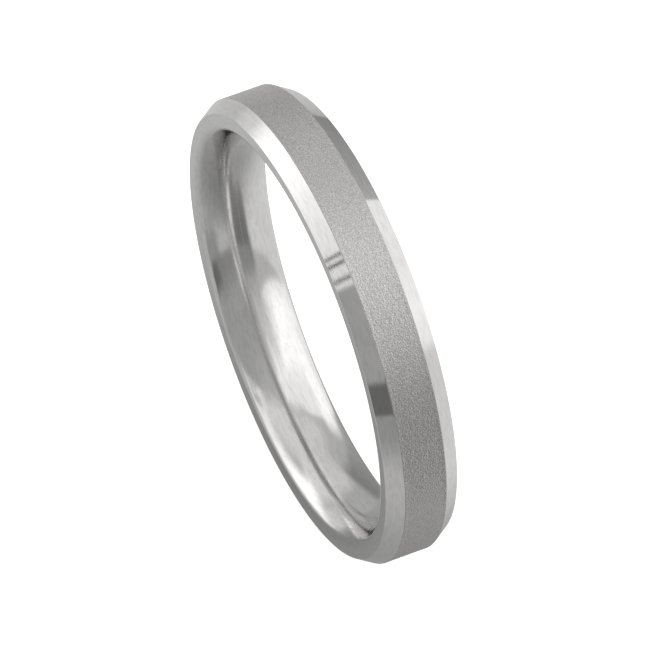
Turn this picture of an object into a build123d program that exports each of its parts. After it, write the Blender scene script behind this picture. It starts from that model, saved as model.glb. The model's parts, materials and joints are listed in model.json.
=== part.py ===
from build123d import *
from math import asin, degrees
import os

# A wedding band built up from three turned pieces on one axis.  Two core halves, each with a
# bevelled flange, meet face to face at the middle of the finger bore, where a spigot on one fits a
# socket in the other.  A blasted centre band sits in the channel between the two flanges.
#
# Millimetres.  The ring stands upright: Z is up, Y is the finger axis, and the origin is the
# centre of the bore.  The spigot half is on the -Y side and the socket half on the +Y side.

# Driving sizes
bore_radius = 9.25        # finger bore at its cylindrical land
land_length = 0.3         # cylindrical land at the middle of the bore
crown_radius = 2.5        # comfort-fit crown of the bore, each side of the land
wall_thickness = 1.75     # from the bore to the outside of the centre band
band_width = 3.5          # side face to side face
centre_width = 2.0        # channel between the flange shoulders
bevel_drop = 0.48         # how far each bevel falls from shoulder to side face
mouth_rounding = 0.5      # from the crown of the bore to each side face
barrel_wall = 0.85        # core wall under the centre band
spigot_wall = 0.42        # wall of the spigot, next to the bore
lap_length = 0.6          # how far the spigot enters the socket

# Clearances
lap_clearance = 0.01      # radial, spigot in socket
lap_end_clearance = 0.03  # axial, past the end of the socket wall
band_clearance = 0.02     # radial, centre band over the core barrel

# Edge breaks
shoulder_break = 0.015    # crisp arris between bevel and shoulder, and on the centre band
side_break = 0.05         # between bevel and side face
seam_break = 0.005        # each lip of the burnished seam in the bore
hidden_break = 0.05       # assembly chamfers inside the joint

# Worked out from the sizes above
outer_radius = bore_radius + wall_thickness
side_radius = outer_radius - bevel_drop
barrel_radius = bore_radius + barrel_wall
spigot_radius = bore_radius + spigot_wall
side_face = band_width / 2
shoulder = centre_width / 2
crown_start = land_length / 2
crown_fall = crown_radius - (crown_radius**2 - (side_face - crown_start) ** 2) ** 0.5
mouth_radius = bore_radius + crown_fall


def corner(profile, radius, y):
    """The corner of a profile that lies nearest to a radius and a place along the axis."""
    return profile.vertices().sort_by_distance((radius, y, 0))[0]


def turned(outline, rounded, chamfered):
    """A ring turned about Y from a closed outline, with X as the radius.

    rounded and chamfered are lists of (radius, y, size), one for each corner that is broken.
    """
    profile = make_face(outline)
    for radius, y, size in rounded:
        profile = fillet(corner(profile, radius, y), size)
    for radius, y, size in chamfered:
        profile = chamfer(corner(profile, radius, y), size)
    return revolve(profile, Axis.Y, 360)


def half_outline(side, joint_points):
    """Outline of one core half, with its flange on the given side of the middle.

    joint_points run from the bore at the seam, through the joint, to the core barrel.
    """
    crown_centre = (bore_radius + crown_radius, side * crown_start)
    land_end = (bore_radius, side * crown_start)
    mouth = (mouth_radius, side * side_face)
    flange = Polyline(
        joint_points[-1],
        (barrel_radius, side * shoulder),
        (outer_radius, side * shoulder),
        (side_radius, side * side_face),
        mouth,
    )
    crown = CenterArc(
        crown_centre,
        crown_radius,
        180,
        -side * degrees(asin((side_face - crown_start) / crown_radius)),
    )
    land = Line(land_end, joint_points[0])
    return Curve() + [flange, crown, land, Polyline(*joint_points)]


def flange_rounding(side):
    return [
        (mouth_radius, side * side_face, mouth_rounding),
        (outer_radius, side * shoulder, shoulder_break),
        (side_radius, side * side_face, side_break),
    ]


def make_spigot_half():
    side = -1
    lap_floor = side * (lap_length + lap_end_clearance)
    joint = [
        (bore_radius, 0),
        (spigot_radius, 0),
        (spigot_radius, lap_floor),
        (barrel_radius, lap_floor),
    ]
    rounded = flange_rounding(side) + [(bore_radius, 0, seam_break)]
    return turned(half_outline(side, joint), rounded, [(spigot_radius, 0, hidden_break)])


def make_socket_half():
    side = 1
    socket_radius = spigot_radius + lap_clearance
    socket_end = -side * lap_length
    joint = [
        (bore_radius, 0),
        (socket_radius, 0),
        (socket_radius, socket_end),
        (barrel_radius, socket_end),
    ]
    rounded = flange_rounding(side) + [(bore_radius, 0, seam_break)]
    chamfered = [(socket_radius, socket_end, hidden_break)]
    return turned(half_outline(side, joint), rounded, chamfered)


def make_centre_band():
    inner_radius = barrel_radius + band_clearance
    outline = Polyline(
        (inner_radius, -shoulder),
        (outer_radius, -shoulder),
        (outer_radius, shoulder),
        (inner_radius, shoulder),
        close=True,
    )
    rounded = [(outer_radius, side * shoulder, shoulder_break) for side in (-1, 1)]
    chamfered = [(inner_radius, side * shoulder, hidden_break) for side in (-1, 1)]
    return turned(outline, rounded, chamfered)


pieces = {
    "spigot_half": make_spigot_half(),
    "socket_half": make_socket_half(),
    "centre_band": make_centre_band(),
}

os.makedirs("parts", exist_ok=True)
for name, piece in pieces.items():
    piece.label = name
    export_step(piece, f"parts/{name}.step")
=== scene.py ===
import json
from math import asin, atan2, cos, degrees, pi, radians, sin, sqrt, tan

import bpy
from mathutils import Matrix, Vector


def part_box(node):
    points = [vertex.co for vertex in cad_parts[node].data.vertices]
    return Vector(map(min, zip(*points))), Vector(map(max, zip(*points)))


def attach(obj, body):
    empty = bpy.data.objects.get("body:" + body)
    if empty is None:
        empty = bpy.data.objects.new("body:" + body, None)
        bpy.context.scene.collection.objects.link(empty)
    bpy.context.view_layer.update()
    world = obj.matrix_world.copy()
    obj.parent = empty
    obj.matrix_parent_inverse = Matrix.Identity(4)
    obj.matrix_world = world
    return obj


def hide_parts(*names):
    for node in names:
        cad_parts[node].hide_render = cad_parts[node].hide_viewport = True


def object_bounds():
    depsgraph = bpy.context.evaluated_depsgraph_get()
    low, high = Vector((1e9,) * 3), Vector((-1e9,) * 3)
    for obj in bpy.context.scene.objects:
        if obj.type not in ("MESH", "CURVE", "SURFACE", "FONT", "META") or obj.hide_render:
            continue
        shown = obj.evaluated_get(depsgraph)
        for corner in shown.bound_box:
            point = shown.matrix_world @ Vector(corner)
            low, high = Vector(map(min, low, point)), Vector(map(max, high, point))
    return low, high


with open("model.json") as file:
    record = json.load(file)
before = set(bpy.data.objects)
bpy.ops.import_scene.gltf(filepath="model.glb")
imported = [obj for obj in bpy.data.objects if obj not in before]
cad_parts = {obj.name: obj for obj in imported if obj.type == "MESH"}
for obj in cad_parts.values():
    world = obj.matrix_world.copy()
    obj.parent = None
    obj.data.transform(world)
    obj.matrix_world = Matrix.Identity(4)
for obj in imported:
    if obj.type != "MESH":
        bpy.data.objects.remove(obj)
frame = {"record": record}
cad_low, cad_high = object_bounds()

# A wedding band: a fine-blasted centre band between two mirror-polished halves.
#
# Each piece is turned about the Y axis in millimetres and brought to metres at the end.  An outline
# is a list of (radius, y) points, and the finger axis is Y, with the ring standing on its edge.
MM = 0.001

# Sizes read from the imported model
centre_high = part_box("centre_band")[1]
socket_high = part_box("socket_half")[1]
bore_mount = next(m for m in frame["record"]["mounts"] if m["name"] == "finger_bore")
outer_radius = centre_high.z / MM
shoulder = centre_high.y / MM
side_face = socket_high.y / MM
bore_radius = bore_mount["dims"]["r_mm"]
land = bore_mount["dims"]["length_mm"] / 2

# Sizes inside the pieces
bevel_drop = 0.48
crown_radius = 2.5
mouth_rounding = 0.5
barrel_radius = 10.1
spigot_radius = 9.67
lap_length = 0.6
lap_clearance = 0.01
lap_end_clearance = 0.03
band_clearance = 0.02
side_radius = outer_radius - bevel_drop

# Edge breaks
shoulder_break = 0.015
side_break = 0.05
seam_break = 0.005
hidden_break = 0.05

# Turning
polished_steps = 720
blasted_steps = 1536
blasted_rows = 38

# Finishes
blast_depth = 0.011
blast_grain = 0.08
blast_rim = 0.14          # the blasting fades out over this width at each edge
relief = 0.02 * MM        # height of the fine marks that are only shaded


# ---------------------------------------------------------------- turned pieces


def deselect_all():
    for thing in bpy.context.selected_objects:
        thing.select_set(False)


def arc(centre, radius, start, end, steps):
    """Points of an arc in the (radius, y) plane, from one angle to another in degrees."""
    points = []
    for step in range(steps + 1):
        angle = radians(start + (end - start) * step / steps)
        points.append((centre[0] + radius * cos(angle), centre[1] + radius * sin(angle)))
    return points


def select_ring(piece, ring_radius, ring_y):
    """Selects the edge ring that runs round the piece at the given radius and y."""
    bpy.ops.mesh.select_all(action="DESELECT")
    bpy.ops.object.mode_set(mode="OBJECT")
    near = 1e-4
    vertices = piece.data.vertices
    on_ring = []
    for vertex in vertices:
        radius = sqrt(vertex.co.x**2 + vertex.co.z**2)
        on_ring.append(abs(radius - ring_radius) < near and abs(vertex.co.y - ring_y) < near)
    for edge in piece.data.edges:
        first, second = edge.vertices
        edge.select = on_ring[first] and on_ring[second]
    bpy.ops.object.mode_set(mode="EDIT")


def turn(name, outline, breaks, steps):
    """A closed ring turned about Y.  Each extrusion carries the edge ring to the next point.

    breaks is a list of (radius, y, size, segments), one for each corner that is broken.
    """
    deselect_all()
    radius, y = outline[0]
    bpy.ops.mesh.primitive_circle_add(
        vertices=steps, radius=radius, location=(0, y, 0), rotation=(pi / 2, 0, 0)
    )
    piece = bpy.context.object
    piece.name = name
    piece.data.name = name
    bpy.ops.object.transform_apply(location=True, rotation=True, scale=True)
    bpy.ops.object.mode_set(mode="EDIT")
    bpy.ops.mesh.select_mode(type="EDGE")
    bpy.ops.mesh.select_all(action="SELECT")
    for next_radius, next_y in outline[1:] + outline[:1]:
        bpy.ops.mesh.extrude_edges_move(TRANSFORM_OT_translate={"value": (0, next_y - y, 0)})
        growth = next_radius / radius
        bpy.ops.transform.resize(value=(growth, 1, growth), center_override=(0, 0, 0))
        radius, y = next_radius, next_y
    bpy.ops.mesh.select_all(action="SELECT")
    bpy.ops.mesh.remove_doubles(threshold=1e-5)
    bpy.ops.mesh.normals_make_consistent(inside=False)
    for corner_radius, corner_y, size, segments in breaks:
        select_ring(piece, corner_radius, corner_y)
        bpy.ops.mesh.bevel(offset=size, segments=segments, profile=0.5, affect="EDGES")
    bpy.ops.mesh.select_all(action="SELECT")
    bpy.ops.mesh.normals_make_consistent(inside=False)
    bpy.ops.object.mode_set(mode="OBJECT")
    return piece


def finish_piece(piece, material, node):
    """Shades the piece, brings it to metres and puts it in the frame."""
    deselect_all()
    piece.select_set(True)
    bpy.context.view_layer.objects.active = piece
    bpy.ops.object.shade_smooth_by_angle(angle=radians(50))
    even = piece.modifiers.new("true_faces", "WEIGHTED_NORMAL")
    even.mode = "FACE_AREA"
    even.weight = 50
    even.keep_sharp = True
    bpy.ops.object.modifier_apply(modifier=even.name)
    piece.scale = (MM, MM, MM)
    bpy.ops.object.transform_apply(location=False, rotation=False, scale=True)
    piece.data.materials.clear()
    piece.data.materials.append(material)
    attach(piece, "root")
    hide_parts(node)


def bore_curve(side):
    """The comfort-fit bore of one half, from the end of its land out to its side face."""
    crown_centre = (bore_radius + crown_radius, side * land)
    rounding_y = side_face - mouth_rounding
    reach = crown_radius - mouth_rounding
    rounding_radius = crown_centre[0] - sqrt(reach**2 - (rounding_y - land) ** 2)
    rounding_centre = (rounding_radius, side * rounding_y)
    crown_end = 180 - side * degrees(asin((rounding_y - land) / reach))
    crown = arc(crown_centre, crown_radius, 180, crown_end, 24)
    rounding = arc(rounding_centre, mouth_rounding, crown_end, 180 - side * 90, 32)
    return crown + rounding[1:]


def half_outline(side, joint):
    """Outline of one polished half.  joint runs from the barrel, through the joint, to the seam."""
    flange = [
        (side_radius, side * side_face),
        (outer_radius, side * shoulder),
        (barrel_radius, side * shoulder),
    ]
    return bore_curve(side) + flange + joint


def flange_breaks(side):
    """The two arrises of a bevel.  A break's set-back is its radius by the tangent of half its turn."""
    bevel_slope = atan2(bevel_drop, side_face - shoulder)
    side_turn = pi / 2 - bevel_slope
    shoulder_turn = pi / 2 + bevel_slope
    return [
        (side_radius, side * side_face, side_break * tan(side_turn / 2), 6),
        (outer_radius, side * shoulder, shoulder_break * tan(shoulder_turn / 2), 6),
    ]


def make_spigot_half():
    lap_floor = -(lap_length + lap_end_clearance)
    joint = [
        (barrel_radius, lap_floor),
        (spigot_radius, lap_floor),
        (spigot_radius, 0),
        (bore_radius, 0),
    ]
    breaks = flange_breaks(-1) + [
        (bore_radius, 0, seam_break, 3),
        (spigot_radius, 0, hidden_break, 1),
    ]
    return turn("spigot_half_polished", half_outline(-1, joint), breaks, polished_steps)


def make_socket_half():
    socket_radius = spigot_radius + lap_clearance
    joint = [
        (barrel_radius, -lap_length),
        (socket_radius, -lap_length),
        (socket_radius, 0),
        (bore_radius, 0),
    ]
    breaks = flange_breaks(1) + [
        (bore_radius, 0, seam_break, 3),
        (socket_radius, -lap_length, hidden_break, 1),
    ]
    return turn("socket_half_polished", half_outline(1, joint), breaks, polished_steps)


def make_centre_band():
    """The blasted band.  Its outside is a fine grid, pressed in by the blasting."""
    inner_radius = barrel_radius + band_clearance
    edge = shoulder - shoulder_break
    rows = []
    for row in range(blasted_rows + 1):
        rows.append((outer_radius, -edge + 2 * edge * row / blasted_rows))
    corner_steps = 3
    near_edge = arc((outer_radius - shoulder_break, -edge), shoulder_break, -90, 0, corner_steps)
    far_edge = arc((outer_radius - shoulder_break, edge), shoulder_break, 0, 90, corner_steps)
    inside = [
        (inner_radius + hidden_break, shoulder),
        (inner_radius, shoulder - hidden_break),
        (inner_radius, -shoulder + hidden_break),
        (inner_radius + hidden_break, -shoulder),
    ]
    outline = near_edge[:-1] + rows + far_edge[1:] + inside
    piece = turn("centre_band_blasted", outline, [], blasted_steps)
    blasted = piece.vertex_groups.new(name="blasted_face")
    for vertex in piece.data.vertices:
        outside = sqrt(vertex.co.x**2 + vertex.co.z**2) > outer_radius - blast_depth / 10
        if outside:
            from_edge = (edge - abs(vertex.co.y)) / blast_rim
            blasted.add([vertex.index], max(0.0, min(1.0, from_edge)), "REPLACE")
    grit = bpy.data.textures.new("grit", "CLOUDS")
    grit.noise_scale = blast_grain
    grit.noise_depth = 1
    pits = piece.modifiers.new("pits", "DISPLACE")
    pits.texture = grit
    pits.texture_coords = "LOCAL"
    pits.vertex_group = blasted.name
    pits.mid_level = 1.0
    pits.strength = blast_depth
    deselect_all()
    piece.select_set(True)
    bpy.context.view_layer.objects.active = piece
    bpy.ops.object.modifier_apply(modifier=pits.name)
    piece.vertex_groups.clear()
    return piece


# ---------------------------------------------------------------- shader sums


class Value:
    """A shader socket that can stand in a Python sum."""

    def __init__(self, graph, socket):
        self.graph = graph
        self.socket = socket

    def sum(self, operation, *values):
        return self.graph.add("ShaderNodeMath", {"operation": operation}, *values)

    def __add__(self, other):
        return self.sum("ADD", self, other)

    def __sub__(self, other):
        return self.sum("SUBTRACT", self, other)

    def __rsub__(self, other):
        return self.sum("SUBTRACT", other, self)

    def __mul__(self, other):
        return self.sum("MULTIPLY", self, other)

    def __truediv__(self, other):
        return self.sum("DIVIDE", self, other)

    def __pow__(self, other):
        return self.sum("POWER", self, other)

    __radd__ = __add__
    __rmul__ = __mul__


class Graph:
    """The nodes of one material or world."""

    def __init__(self, owner):
        owner.use_nodes = True
        self.tree = owner.node_tree
        self.tree.nodes.clear()

    def node(self, kind, settings, *values, **named):
        """Adds a node: its settings first, then the values or links of its sockets."""
        made = self.tree.nodes.new(kind)
        for key, value in settings.items():
            setattr(made, key, value)
        for place, value in list(enumerate(values)) + list(named.items()):
            name = place.replace("_", " ") if isinstance(place, str) else place
            socket = made.inputs[name]
            if isinstance(value, Value):
                self.tree.links.new(value.socket, socket)
            elif value is not None:
                socket.default_value = value
        return made

    def add(self, kind, settings, *values, output=0, **named):
        return Value(self, self.node(kind, settings, *values, **named).outputs[output])

    def fade(self, value, start, end, low=0.0, high=1.0):
        """low before start and high after end, with a smooth change between them."""
        settings = {"interpolation_type": "SMOOTHSTEP"}
        return self.add("ShaderNodeMapRange", settings, value, start, end, low, high)

    def mix(self, share, first, second):
        """Mixes two colours."""
        made = self.node("ShaderNodeMix", {"data_type": "RGBA"}, share)
        for place, colour in ((6, first), (7, second)):
            if isinstance(colour, Value):
                self.tree.links.new(colour.socket, made.inputs[place])
            else:
                made.inputs[place].default_value = colour
        return Value(self, made.outputs[2])

    def noise(self, where, scale, detail, roughness):
        return self.add(
            "ShaderNodeTexNoise", {}, Vector=where, Scale=scale, Detail=detail, Roughness=roughness
        )

    def ring_noise(self, place, round_scale, cross_scale, detail):
        """Noise with one scale round the ring and another across its section, with no break."""
        across, upward, along, radius = place
        where = self.vector(across * round_scale, upward * round_scale, along * cross_scale)
        settings = {"noise_dimensions": "4D"}
        return self.add(
            "ShaderNodeTexNoise", settings, Vector=where, W=radius * cross_scale, Detail=detail
        )

    def vector(self, x, y, z):
        return self.add("ShaderNodeCombineXYZ", {}, x, y, z)

    def parts(self, vector):
        made = self.node("ShaderNodeSeparateXYZ", {}, vector)
        return [Value(self, output) for output in made.outputs]


# ---------------------------------------------------------------- metals


def place_on_ring(graph):
    """Place on the ring in millimetres.  Two values say where it is round the rim, without the
    break that an angle has, and the others are the place along the axis and the radius.
    """
    position = graph.add("ShaderNodeTexCoord", {}, output="Object")
    x, y, z = graph.parts(position)
    radius = (x * x + z * z) ** 0.5
    across = (x / radius) * outer_radius
    upward = (z / radius) * outer_radius
    return across, upward, y * (1 / MM), radius * (1 / MM)


def make_polished_metal():
    """Mirror polish: fine lines left by the turning mop, a few hairline scratches, soft smears."""
    material = bpy.data.materials.new("polished_metal")
    graph = Graph(material)
    place = place_on_ring(graph)
    radius = place[3]

    # Lines run round the ring, so they are long in that direction and narrow across it.
    mop_lines = graph.ring_noise(place, 0.25, 22, 3.0)
    smear = graph.ring_noise(place, 0.35, 1.6, 2.0)
    cross_lines = graph.ring_noise(place, 9, 0.8, 2.0)
    hairline = graph.fade(cross_lines, 0.70, 0.74)

    white = (0.735, 0.73, 0.722, 1)
    greyer = (0.66, 0.653, 0.645, 1)
    colour = graph.mix(graph.fade(smear, 0.35, 0.75), white, greyer)
    # The bore is polished less brightly than the bevels.
    in_bore = graph.fade(radius, 10.05, 9.75)
    smeared = graph.fade(smear, 0.4, 0.75)
    roughness = 0.035 + in_bore * 0.085 + smeared * 0.05 + hairline * 0.10
    height = mop_lines * 0.6 + hairline * -0.4 + smear * 0.5
    bump = graph.add("ShaderNodeBump", {}, Strength=0.028, Distance=relief, Height=height)
    shader = graph.add(
        "ShaderNodeBsdfPrincipled",
        {},
        Base_Color=colour,
        Metallic=1.0,
        Roughness=roughness,
        Normal=bump,
    )
    graph.node("ShaderNodeOutputMaterial", {}, Surface=shader)
    return material


def make_blasted_metal():
    """Bead-blasted matte: close pits, a fine grain between them and broad faint patches."""
    material = bpy.data.materials.new("blasted_metal")
    graph = Graph(material)
    position = graph.add("ShaderNodeTexCoord", {}, output="Object")

    pit_size = 0.085 * MM
    grain_size = 0.06 * MM
    patch_size = 2.2 * MM
    pits = graph.add("ShaderNodeTexVoronoi", {}, Vector=position, Scale=1 / pit_size)
    grain = graph.noise(position, 1 / grain_size, 2.0, 0.6)
    patches = graph.noise(position, 1 / patch_size, 3.0, 0.6)

    light = (0.735, 0.725, 0.709, 1)
    dark = (0.43, 0.423, 0.412, 1)
    specks = graph.fade(grain, 0.30, 0.72)
    colour = graph.mix(specks * 0.9 + patches * 0.15, dark, light)
    roughness = 0.31 + patches * 0.08
    height = pits * 0.5 + grain * 0.7
    bump = graph.add("ShaderNodeBump", {}, Strength=0.7, Distance=relief, Height=height)
    shader = graph.add(
        "ShaderNodeBsdfPrincipled",
        {},
        Base_Color=colour,
        Metallic=1.0,
        Roughness=roughness,
        Normal=bump,
    )
    graph.node("ShaderNodeOutputMaterial", {}, Surface=shader)
    return material


# ---------------------------------------------------------------- studio

# Softboxes, flags and table round the ring.  Each has its left and right bearing, its low and high
# elevation, how much both elevations rise for each degree of bearing, the softness of the left,
# right, low and high edge, and its brightness at the left and right end.  Angles are degrees, and
# a later one covers the ones before it.
studio_panels = {
    "left_table": (-128, -74, -45, -2, 0, (14, 8, 14, 12), 0.63, 0.63),
    "key_skirt": (-84, -58, -8, 14, 0, (8, 8, 8, 8), 0.74, 0.92),
    "left_wall": (-128, -90, -16, 22, 0, (10, 10, 10, 16), 0.48, 0.52),
    "left_fill": (-116, -60, 20, 68, 0, (14, 10, 14, 14), 0.74, 0.90),
    "ceiling": (-150, 20, 52, 90, 0, (20, 30, 20, 2), 0.78, 0.86),
    "back_table": (109, 208, -54, -2, 0, (14, 25, 30, 2), 0.78, 0.84),
    "dim_table": (87, 112, -75, 10, 0, (9, 6, 25, 14), 0.20, 0.20),
    "left_back_flag": (-158, -119, -19, 21, 0.5, (1.0, 8, 1.4, 16), 0.46, 0.27),
    "front_card": (4, 104, -5, 60, 0, (1.0, 16, 3, 42), 0.42, 0.42),
    "back_softbox": (114, 202, -1, 92, -0.5, (28, 1.0, 5, 24), 1.12, 1.08),
    "softbox_core": (130, 172, 10, 56, -0.5, (18, 26, 16, 24), 1.42, 1.30),
    "back_fill": (164, 208, 17, 38, 0, (16, 14, 9, 12), 1.38, 1.36),
    "front_table_shade": (28, 64, -24, -5, 0, (8, 8, 20, 2), 0.36, 0.36),
    "horizon_shade": (46, 108, -5, 12, 0, (10, 14, 3, 20), 0.28, 0.32),
    "horizon_flag": (32, 54, -6, 7, 0, (7, 10, 2, 3), 0.16, 0.17),
    "key_softbox": (-68, 17, 13, 47, 0.3, (12, 0.6, 24, 16), 1.55, 0.93),
    "first_bar": (0.8, 2.6, 30, 48, 0, (0.3, 0.3, 5, 5), 0.20, 0.20),
    "second_bar": (4.9, 6.7, 30, 48, 0, (0.3, 0.3, 5, 5), 0.14, 0.14),
    "third_bar": (12.4, 14.4, 30, 46, 0, (0.4, 0.4, 5, 6), 0.28, 0.26),
}
surround = 0.56


def make_studio():
    world = bpy.data.worlds.new("studio")
    bpy.context.scene.world = world
    graph = Graph(world)
    direction = graph.add("ShaderNodeTexCoord", {}, output="Generated")
    x, y, z = graph.parts(direction)
    to_degrees = 180 / pi
    elevation = graph.add("ShaderNodeMath", {"operation": "ARCSINE"}, z) * to_degrees
    light = surround
    for left, right, low, high, rise, softness, left_level, right_level in studio_panels.values():
        middle = radians((left + right) / 2)
        across = x * cos(middle) + y * sin(middle)
        ahead = x * sin(middle) - y * cos(middle)
        bearing = graph.add("ShaderNodeMath", {"operation": "ARCTAN2"}, across, ahead) * to_degrees
        half = (right - left) / 2
        soft_left, soft_right, soft_low, soft_high = (edge / 2 for edge in softness)
        mask = graph.fade(bearing, -half - soft_left, -half + soft_left)
        mask = mask * graph.fade(bearing, half - soft_right, half + soft_right, 1.0, 0.0)
        height = elevation - bearing * rise
        mask = mask * graph.fade(height, low - soft_low, low + soft_low)
        mask = mask * graph.fade(height, high - soft_high, high + soft_high, 1.0, 0.0)
        level = graph.fade(bearing, -half, half, left_level, right_level)
        light = light + mask * (level - light)
    seen = graph.add("ShaderNodeLightPath", {}, output="Is Camera Ray")
    shown = 1.0
    strength = light + seen * (shown - light)
    background = graph.add("ShaderNodeBackground", {}, (1, 1, 1, 1), strength)
    graph.node("ShaderNodeOutputWorld", {}, Surface=background)


def make_floor():
    """A pale translucent table, lit from below, that the ring stands on."""
    deselect_all()
    bpy.ops.mesh.primitive_circle_add(
        vertices=96, radius=0.6, location=(0, 0, cad_low.z), fill_type="NGON"
    )
    floor = bpy.context.object
    floor.name = "table"
    material = bpy.data.materials.new("table")
    graph = Graph(material)
    glow = graph.add("ShaderNodeEmission", {}, (1, 1, 1, 1), 0.72)
    matte = graph.add("ShaderNodeBsdfDiffuse", {}, (0.75, 0.75, 0.75, 1))
    top = graph.add("ShaderNodeAddShader", {}, glow, matte)
    clear = graph.add("ShaderNodeBsdfTransparent", {})
    below = graph.add("ShaderNodeNewGeometry", {}, output="Backfacing")
    shader = graph.add("ShaderNodeMixShader", {}, below, top, clear)
    graph.node("ShaderNodeOutputMaterial", {}, Surface=shader)
    floor.data.materials.append(material)
    floor.visible_glossy = False


def make_contact_shade():
    """The part of the table close under the ring, darker because the ring keeps light from it.

    Only reflections see it.
    """
    deselect_all()
    bpy.ops.mesh.primitive_circle_add(
        vertices=96, radius=0.03, location=(0, 0, cad_low.z - 0.01 * MM), fill_type="NGON"
    )
    shade = bpy.context.object
    bpy.ops.object.transform_apply(location=True, rotation=True, scale=True)
    shade.name = "contact_shade"
    material = bpy.data.materials.new("contact_shade")
    graph = Graph(material)
    x, y, z = graph.parts(graph.add("ShaderNodeTexCoord", {}, output="Object"))
    # The shade is longer along the ring than across it, and lies a little to its front.
    stretch = 1.5
    forward = 0.002
    shade_radius = 0.015
    from_middle = y + forward
    reach = ((x / stretch) ** 2 + from_middle * from_middle) ** 0.5
    cover = graph.fade(reach, 0.0, shade_radius, 0.95, 0.0)
    dim = graph.add("ShaderNodeEmission", {}, (1, 1, 1, 1), 0.26)
    clear = graph.add("ShaderNodeBsdfTransparent", {})
    shader = graph.add("ShaderNodeMixShader", {}, cover, clear, dim)
    graph.node("ShaderNodeOutputMaterial", {}, Surface=shader)
    shade.data.materials.append(material)
    shade.visible_camera = False
    shade.visible_diffuse = False
    shade.visible_shadow = False


def make_camera():
    """Looks down on the ring from its right, through a long lens."""
    azimuth = radians(65.31)
    elevation = radians(50.84)
    distance = 0.6395
    aim_right = 0.000124
    aim_down = 0.000039
    back = Vector(
        (sin(azimuth) * cos(elevation), -cos(azimuth) * cos(elevation), sin(elevation))
    )
    right = Vector((cos(azimuth), sin(azimuth), 0))
    up = back.cross(right)
    lens = bpy.data.cameras.new("camera")
    lens.sensor_width = 36
    lens.lens = 792.5
    lens.clip_start = 0.01
    lens.clip_end = 10
    camera = bpy.data.objects.new("camera", lens)
    bpy.context.scene.collection.objects.link(camera)
    camera.location = back * distance
    aim = right * aim_right - up * aim_down
    camera.rotation_mode = "QUATERNION"
    camera.rotation_quaternion = (aim - camera.location).to_track_quat("-Z", "Y")
    bpy.context.scene.camera = camera


bpy.context.scene.view_settings.view_transform = "Standard"
make_camera()
make_studio()
make_floor()
make_contact_shade()
polished_metal = make_polished_metal()
blasted_metal = make_blasted_metal()
finish_piece(make_spigot_half(), polished_metal, "spigot_half")
finish_piece(make_socket_half(), polished_metal, "socket_half")
finish_piece(make_centre_band(), blasted_metal, "centre_band")
